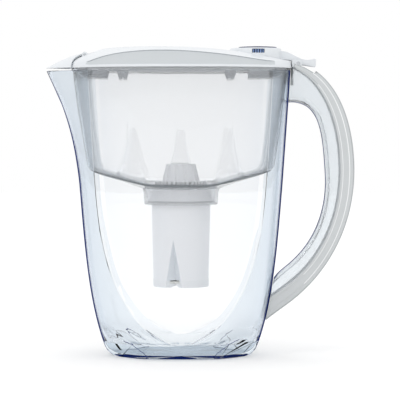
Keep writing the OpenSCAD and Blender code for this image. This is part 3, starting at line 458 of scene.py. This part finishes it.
def panel_edge(z):
    """Half width of the raised panel at a height, as in the CAD model."""
    if z >= PANEL_TURN:
        return PANEL_HALF + PANEL_SPREAD * (z - PANEL_TURN) / (RIM_TOP - PANEL_TURN)
    drop = (PANEL_TURN - z) / (PANEL_TURN - FOOT_TOP)
    return max(PANEL_TIP, PANEL_HALF * math.sqrt(max(0, 1 - drop ** 2)))


def ring_edge(z):
    """The same between the CAD model's rings, whose faces are straight."""
    for low, high in zip(RING_LEVELS, RING_LEVELS[1:]):
        if z <= high:
            share = (z - low) / (high - low)
            return panel_edge(low) * (1 - share) + panel_edge(high) * share
    return panel_edge(z)


def is_inner(c, n):
    """A face that looks at the water: up on the floor, towards the middle on the wall."""
    if c.z < FLOOR_TOP and abs(n.z) > FLAT_TILT:
        return n.z > 0
    return n.x * c.x / OVAL_LONG ** 2 + n.y * c.y / OVAL_WIDE ** 2 < 0


def in_panel(c, n):
    return c.z > PANEL_LOW and abs(c.x) - ring_edge(c.z) < STEP_START and not is_inner(c, n)


# Faces of the step, which get the painted highlight.
def on_step(c, n):
    if FOOT_TOP < c.z < PANEL_LOW:
        return abs(c.x) < STEP_TIP
    beyond = abs(c.x) - ring_edge(c.z)
    return c.z > PANEL_LOW and STEP_START <= beyond < STEP_END and abs(n.z) < RIM_TILT


def in_foot(c, n):
    return c.z < FOOT_TOP and not is_inner(c, n)


def in_foot_inside(c, n):
    return c.z < FOOT_TOP and is_inner(c, n)


STEP, PANEL, INSIDE, FOOT_LINE, FOOT, FOOT_INSIDE = range(1, 7)
jug_finishes = (clear, step_painted_highlight, panel, inside, foot_line, foot_clear, foot_inside)
jug_marks = ((INSIDE, is_inner), (PANEL, in_panel), (FOOT, in_foot), (FOOT_INSIDE, in_foot_inside),
             (STEP, on_step))
print("jug regions:", len(jug_finishes), "panel half width at the rim:", panel_edge(RIM_TOP))

# %% [markdown]
# The four corners of the foot are cut by slanting flats, and a dark line marks the side of each flat that
# lies towards the jug's middle. A subdivision surface would round such an edge, so the flats are cut
# afterwards: a plane slices through the smooth shell, the cut is closed by a face, and a narrow border is
# inset in it.

# %% The jug
jug = smooth_shell("jug", "jug_shell", jug_finishes, jug_marks, sharp=28, rows=JUG_ROWS)
FLAT_TURN = math.radians(51)
FLAT_LEAN = 0.79
FLAT_PLACE = (44.7 - 0.4) * MM
FLAT_BORDER = 0.9 * MM
LINE_REACH = 1 * MM
for along in (1, -1):
    for across in (1, -1):
        side = Vector((along * math.cos(FLAT_TURN), across * math.sin(FLAT_TURN), 0))
        take(jug)
        bpy.ops.object.mode_set(mode="EDIT")
        bpy.ops.mesh.select_all(action="SELECT")
        bpy.ops.mesh.bisect(plane_co=side * FLAT_PLACE, plane_no=side - Vector((0, 0, FLAT_LEAN)),
                            use_fill=True, clear_outer=True)
        bpy.ops.mesh.inset(thickness=FLAT_BORDER)
        bpy.ops.object.mode_set(mode="OBJECT")
        flat = [face for face in jug.data.polygons if face.select]
        flat_points = {point for face in flat for point in face.vertices}
        middle = sum((face.center for face in flat), Vector()) / len(flat)
        for face in jug.data.polygons:
            if face.select:
                face.material_index = FOOT
            elif flat_points.intersection(face.vertices):
                near_side = abs(face.center.x) < abs(middle.x) + LINE_REACH
                face.material_index = FOOT_LINE if near_side else FOOT
        print("flat at", tuple(round(v / MM, 1) for v in middle), "faces", len(flat))
settle(jug, "jug", "jug", soft=22)

# %% [markdown]
# ## The handle
# The handle is a clear channel on the finger side, closed on its back by a grey grip cover. The cover steps
# down towards its edges. Each step's slope is painted light as a painted highlight, and the outermost slope
# is painted dark as painted shade.

# %% The handle
FINGERS = Vector((101, 0, 140))
TOWARDS_FINGERS = 0.15
COVER_FRONT = 100
RIDGE_TILT, STEP_TILT, EDGE_TILT = 0.3, 0.6, 0.86
CHANNEL_EDGE = 1
COVER_STEP, COVER_RIDGE = 1, 2


def finger_side(c, n):
    """A face of the channel that looks towards the middle of the finger opening."""
    return n.dot((FINGERS - Vector((c.x, 0, c.z))).normalized()) > TOWARDS_FINGERS


# Step slopes that get the painted highlight.
def step_slope(c, n):
    return STEP_TILT < abs(n.y) < EDGE_TILT and n.y * c.y > 0 and c.x > COVER_FRONT


# The outermost slope, which gets the painted shade.
def ridge_slope(c, n):
    return RIDGE_TILT < abs(n.y) < STEP_TILT and n.y * c.y > 0


channel = smooth_shell("handle_channel", "handle_channel_shell", (grip_inside, grip_clear),
                       ((CHANNEL_EDGE, finger_side),))
settle(channel, "handle_channel", "jug")
cover = smooth_shell("handle_cover", "handle_cover_shell", (grip_grey, grip_step_highlight, grip_ridge_painted_shade),
                     ((COVER_STEP, step_slope), (COVER_RIDGE, ridge_slope)))
settle(cover, "handle_cover", "jug")

# %% [markdown]
# ## The hopper
# The hopper is frosted so slightly that the pull knob still shows through it. Its wall has three flutes on
# each side, wedges that narrow upwards and are painted brighter as painted light, and round the cartridge
# hangs a clearer collar. The wall turns into the sloping floor at a thick corner that looks like a dark
# line.
# That corner is a bevel along the lowest ring of the wall, with a finish of its own.

# %% The hopper's regions
HOPPER_FLOOR = 144.5
HOPPER_SLOPE = 0.24
HOPPER_LEVEL = 26
COLLAR_TOP = 144.4
COLLAR_RADIUS = 36
CORNER_FROM = 38
CORNER_WIDTH = 1.2 * MM
FLUTE_PITCH = 40
FLUTE_HALF = 12.8
FLUTE_HEIGHT = 46
FLUTE_LOW, FLUTE_TOP = 146, 190
UPRIGHT = 0.5
HOPPER_ROWS = (190.6, 239.6, 241.6)
CORNER, COLLAR, FLUTE = 1, 2, 3


def hopper_low(x):
    """Height of the hopper's bottom edge, as in the CAD model."""
    return HOPPER_FLOOR + HOPPER_SLOPE * max(0, abs(x) - HOPPER_LEVEL)


# Faces of the flutes, which get the painted light.
def on_flute(c, n):
    share = 1 - (c.z - HOPPER_FLOOR) / FLUTE_HEIGHT
    place = min(abs(c.x - k * FLUTE_PITCH) for k in (-1, 0, 1))
    return FLUTE_LOW < c.z < FLUTE_TOP and place < FLUTE_HALF * share and abs(n.z) < UPRIGHT


def on_collar(c, n):
    return c.z < COLLAR_TOP and math.hypot(c.x, c.y) < COLLAR_RADIUS


print("hopper's bottom edge at its ends:", hopper_low(OVAL_LONG))

# %% The hopper
hopper = merged_copy("hopper", "hopper_shell", rows=HOPPER_ROWS)
wear(hopper, frosted, hopper_edge, collar, flute_light)
mark(hopper, FLUTE, on_flute)
mark(hopper, COLLAR, on_collar)
take(hopper)
bpy.ops.object.mode_set(mode="EDIT")
bpy.ops.mesh.select_mode(type="EDGE")
bpy.ops.mesh.select_all(action="DESELECT")
bpy.ops.object.mode_set(mode="OBJECT")
low_ring = {v.index for v in hopper.data.vertices
            if abs(v.co.z / MM - hopper_low(v.co.x / MM)) < 0.1
            and math.hypot(v.co.x, v.co.y) > CORNER_FROM * MM}
for edge in hopper.data.edges:
    edge.select = low_ring.issuperset(edge.vertices)
print("edges of the hopper's low corner:", sum(edge.select for edge in hopper.data.edges))
bpy.ops.object.mode_set(mode="EDIT")
bpy.ops.mesh.bevel(offset=CORNER_WIDTH, segments=2, material=CORNER, clamp_overlap=True)
bpy.ops.object.mode_set(mode="OBJECT")
crease_corners(hopper, sharp=18)
use(hopper, "SUBSURF", levels=2, render_levels=2)
settle(hopper, "hopper", "hopper")

# %% [markdown]
# ## The lid
# The lid is satin. Each of its sides has a shallow field painted darker as painted shade, under a ledge
# painted darker still as painted shade. Both lie in a recess close to the lid's outline, which is a rounded
# oval. The spout flap and the flip lid are mouldings of the same plastic, each on a hinge of its own.

# %% The lid
LID_LONG = 94
LID_WIDE = 57
LID_POWER = 2.4
RECESS_DEPTH = 3.2
FIELD_HALF = 78
FIELD_LOW, FIELD_TOP = 245.7, 258
LEDGE_HALF = 80
LEDGE_LOW = 245.8
DOWNWARD = -0.3
FIELD, LEDGE = 1, 2


def in_recess(c, n):
    """A face in a side of the lid that looks away from the middle plane."""
    outline = LID_WIDE * max(0.0, 1 - (abs(c.x) / LID_LONG) ** LID_POWER) ** (1 / LID_POWER)
    return n.y * c.y > 0 and abs(c.y) > outline - RECESS_DEPTH


# Faces of the side field and of the ledge, which get the painted shade.
def in_field(c, n):
    return abs(c.x) < FIELD_HALF and FIELD_LOW < c.z < FIELD_TOP and abs(n.z) < UPRIGHT and in_recess(c, n)


def under_ledge(c, n):
    return abs(c.x) < LEDGE_HALF and c.z > LEDGE_LOW and n.z < DOWNWARD and in_recess(c, n)


lid = smooth_shell("lid_frame", "lid_shell", (lid_white, lid_field_shade, shade_on_ledge),
                   ((FIELD, in_field), (LEDGE, under_ledge)), levels=1)
settle(lid, "lid_frame", "lid")
flap = smooth_shell("spout_flap", "spout_flap_shell", (lid_white,))
settle(flap, "spout_flap", "spout_flap")
flip = smooth_shell("flip_lid", "flip_lid_shell", (lid_white,), levels=1)
settle(flip, "flip_lid", "flip_lid")

# %% [markdown]
# ## The counter
# A navy bezel lies round the clear dome. Under the dome the dial has a navy hub with light blue ribs round
# it. Both rings are cut from a flat circle and raised to their height. One rib is made, a bevelled block,
# and its copies have meshes of their own, turned round the counter's axis.

# %% The counter's bezel and hub
COUNTER_X = 65
COUNTER = Vector((COUNTER_X * MM, 0, 0))
SEAT_TOP = 260.7
DIAL_TOP = 259.6
BEZEL_OUTER, BEZEL_INNER = 16.1, 15.0
BEZEL_SUNK, BEZEL_RISE = 0.1, 1.0
HUB_OUTER, HUB_INNER, HUB_RISE = 5.0, 3.4, 1.7


def ring(name, outer, inner, low, high, sides=96):
    """A flat ring round the counter's axis, in millimetres."""
    deselect()
    bpy.ops.mesh.primitive_circle_add(vertices=sides, radius=outer * MM, fill_type="NGON",
                                      location=COUNTER + Vector((0, 0, low * MM)))
    piece = bpy.context.object
    piece.name = name
    bpy.ops.object.transform_apply(location=True, rotation=False, scale=False)
    bpy.ops.object.mode_set(mode="EDIT")
    bpy.ops.mesh.select_all(action="SELECT")
    bpy.ops.mesh.inset(thickness=(outer - inner) * MM)
    bpy.ops.mesh.delete(type="FACE")
    bpy.ops.mesh.select_all(action="SELECT")
    bpy.ops.mesh.extrude_region_move(TRANSFORM_OT_translate={"value": (0, 0, (high - low) * MM)})
    bpy.ops.mesh.select_all(action="SELECT")
    bpy.ops.mesh.normals_make_consistent(inside=False)
    bpy.ops.object.mode_set(mode="OBJECT")
    return piece


bezel = ring("counter_bezel", BEZEL_OUTER, BEZEL_INNER, SEAT_TOP - BEZEL_SUNK, SEAT_TOP + BEZEL_RISE)
use(bezel, "BEVEL", width=0.25 * MM, segments=2)
wear(bezel, navy)
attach(bezel, "flip_lid")
hub = ring("counter_hub", HUB_OUTER, HUB_INNER, DIAL_TOP, DIAL_TOP + HUB_RISE, sides=24)
wear(hub, navy)
print("bezel faces:", len(bezel.data.polygons), "hub faces:", len(hub.data.polygons))

# %% The ribs of the hub
RIB_COUNT = 12
RIB_AWAY = 4.9
RIB_MIDDLE = 0.8
RIB_SIZE = Vector((0.9, 1.1, 1.6)) * MM
RIB_PLACE = COUNTER + Vector((RIB_AWAY, 0, DIAL_TOP + RIB_MIDDLE)) * MM
deselect()
bpy.ops.mesh.primitive_cube_add(size=1.0, location=RIB_PLACE)
hub_ribs = bpy.context.object
hub_ribs.name = "counter_hub_ribs"
hub_ribs.scale = RIB_SIZE
bpy.ops.object.transform_apply(location=False, rotation=False, scale=True)
use(hub_ribs, "BEVEL", width=0.12 * MM, segments=2)
wear(hub_ribs, rib_blue)
axis = COUNTER - RIB_PLACE
copies = []
for k in range(1, RIB_COUNT):
    rib = hub_ribs.copy()
    rib.data = hub_ribs.data.copy()
    bpy.context.scene.collection.objects.link(rib)
    turn = Matrix.Rotation(k * math.tau / RIB_COUNT, 4, "Z")
    rib.data.transform(Matrix.Translation(axis) @ turn @ Matrix.Translation(-axis))
    copies.append(rib)
take(hub_ribs)
for rib in copies:
    rib.select_set(True)
bpy.ops.object.join()
for piece in (hub, hub_ribs):
    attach(piece, "counter_dial")
print("ribs on the hub:", RIB_COUNT, "faces:", len(hub_ribs.data.polygons))

# %% [markdown]
# ## The cartridge's wall and the counter's housing
# Both have the right shape in the CAD model already, so only their finishes are new. The flanks of the
# cartridge's three wedge grooves are painted darker as painted shade, and the ribs in the housing's rim are
# lighter than the housing.

# %% Cartridge wall and counter housing
GROOVE_TOP = 125
GROOVE_NEAR, GROOVE_FAR = 14, 25
WALL_OUTWARD = 0.93
HOUSING_RADIUS = 15.7


# Groove flanks, which get the painted shade.
def in_groove(c, n):
    away = math.hypot(c.x, c.y)
    outward = (n.x * c.x + n.y * c.y) / max(away, GROOVE_NEAR)
    return c.z < GROOVE_TOP and GROOVE_NEAR < away < GROOVE_FAR and 0 < outward < WALL_OUTWARD


def on_rib(c, n):
    return math.hypot(c.x - COUNTER_X, c.y) > HOUSING_RADIUS


plain_copy("cartridge_body", "cartridge_wall", (filter_white, groove_shade), ((1, in_groove),),
           "cartridge")
plain_copy("counter_base", "counter_housing", (navy, rib_blue), ((1, on_rib),),
           "flip_lid")

# %% [markdown]
# ## Finishes on the other parts
# The other parts keep the shape of the CAD model as it is. Each one wears the finish of its real material.

# %% Put the finishes on
knob_parts = ["cartridge_flange", "cartridge_basket", "cartridge_knob", "cartridge_base"]
worn = ((knob_grey, knob_parts),
        (lid_white, ["hinge_ears"]),
        (tongue_grey, ["lid_tongue"]),
        (seal_rubber, ["cartridge_seal"]),
        (felt, ["top_felt", "bottom_felt"]),
        (granules, ["filter_media"]),
        (steel, ["hinge_pin", "flap_pin", "counter_spindle"]),
        (dial_white, ["counter_dial", "counter_pawl"]),
        (window, ["counter_window"]))
for finish, names in worn:
    for name in names:
        wear(nodes[name], finish)
print("parts with a finish put on:", sum(len(names) for finish, names in worn))

# %% [markdown]
# ## Floor and studio
# The pitcher stands on a pale floor in an even, white studio. The camera sees the studio white and the floor
# lifted towards white, also through glass or in a reflection. As light the studio is weaker from below and
# strongest from above, so the solid parts keep their shading and the floor its soft shadow under the foot.

# %% Floor
FLOOR_SIZE = 8.0
FLOOR_GLOW = 0.10


def seen_white(tree):
    """1 for rays that the camera sends, straight or by way of glass and gloss, and 0 for light."""
    path = add(tree, "ShaderNodeLightPath")
    value = path.outputs["Is Camera Ray"]
    for kind in ("Is Transmission Ray", "Is Glossy Ray"):
        either = add(tree, "ShaderNodeMath", {"operation": "MAXIMUM"}, {0: value, 1: path.outputs[kind]})
        value = either.outputs[0]
    return value


deselect()
bpy.ops.mesh.primitive_plane_add(size=FLOOR_SIZE, location=(0, 0, 0))
floor = bpy.context.object
floor.name = "floor"
mat, tree, where, out = finish_named("floor_paint")
paint = add(tree, "ShaderNodeBsdfDiffuse", {"Color": ink("#F2F2F2")})
lift = add(tree, "ShaderNodeMath", {"operation": "MULTIPLY", 1: FLOOR_GLOW}, {0: seen_white(tree)})
glow = add(tree, "ShaderNodeEmission", {"Color": ink("#FFFFFF")}, {"Strength": lift.outputs[0]})
both = add(tree, "ShaderNodeAddShader", links={0: paint.outputs[0], 1: glow.outputs[0]})
tree.links.new(both.outputs[0], out.inputs["Surface"])
floor.data.materials.append(mat)
print("floor:", FLOOR_SIZE, "metres across")

# %% Studio
SKY_SEEN = 1.0
SKY_LOW, SKY_HIGH = 0.52, 1.25
world = bpy.data.worlds.new("studio")
bpy.context.scene.world = world
world.use_nodes = True
tree = world.node_tree
tree.nodes.clear()
out = add(tree, "ShaderNodeOutputWorld")
seen = seen_white(tree)
sight = add(tree, "ShaderNodeTexCoord")
up = add(tree, "ShaderNodeSeparateXYZ", links={0: sight.outputs["Generated"]})
soft_box = add(tree, "ShaderNodeMapRange",
               {"From Min": -0.3, "From Max": 0.9, "To Min": SKY_LOW, "To Max": SKY_HIGH},
               {"Value": up.outputs["Z"]})
level = add(tree, "ShaderNodeMix", {"data_type": "FLOAT", 3: SKY_SEEN},
            {0: seen, 2: soft_box.outputs["Result"]})
sky = add(tree, "ShaderNodeBackground", {"Color": ink("#FFFFFF")}, {"Strength": level.outputs[0]})
tree.links.new(sky.outputs[0], out.inputs["Surface"])
print("studio light from", SKY_LOW, "below to", SKY_HIGH, "above")

# %% [markdown]
# ## Lamps
# Two square soft lamps stand in front. The key light, from the upper left, draws the highlights, and a
# weaker one from the right fills the handle's shade.

# %% Lamps
LAMP_SIZE = 0.9
LAMP_AIM = (0, 0, 0.12)


def lamp(name, place, watts):
    """A square soft lamp that looks at the middle of the pitcher."""
    data = bpy.data.lights.new(name, "AREA")
    data.size = LAMP_SIZE
    data.energy = watts
    light = bpy.data.objects.new(name, data)
    bpy.context.scene.collection.objects.link(light)
    light.location = place
    away = [a - p for a, p in zip(LAMP_AIM, place)]
    light.rotation_euler = Vector(away).to_track_quat("-Z", "Y").to_euler()
    print("lamp", name, "of", watts, "watts")


lamp("key", (-0.9, -1.2, 1.3), 2.8)
lamp("fill", (1.1, -1.0, 0.7), 0.8)

# %% [markdown]
# ## Camera
# The camera stands a metre and a half in front, a little above the pitcher's middle, and looks down by two
# degrees through a long lens, so the pitcher shows almost without perspective.

# %% Camera
LOOK_DOWN = 2.19
camera = bpy.data.objects.new("camera", bpy.data.cameras.new("camera"))
bpy.context.scene.collection.objects.link(camera)
camera.data.sensor_width = 36
camera.data.lens = 164.9
camera.data.clip_end = 50
camera.location = (16.15 * MM, -1557 * MM, 191.6 * MM)
camera.rotation_euler = (math.radians(90 - LOOK_DOWN), 0, 0)
bpy.context.scene.camera = camera
bpy.context.scene.view_settings.view_transform = "Standard"
print("camera at", tuple(camera.location), "lens", camera.data.lens)

# %% [markdown]
# ## Last step
# Nothing is left selected at the end.

# %% Select nothing
deselect()
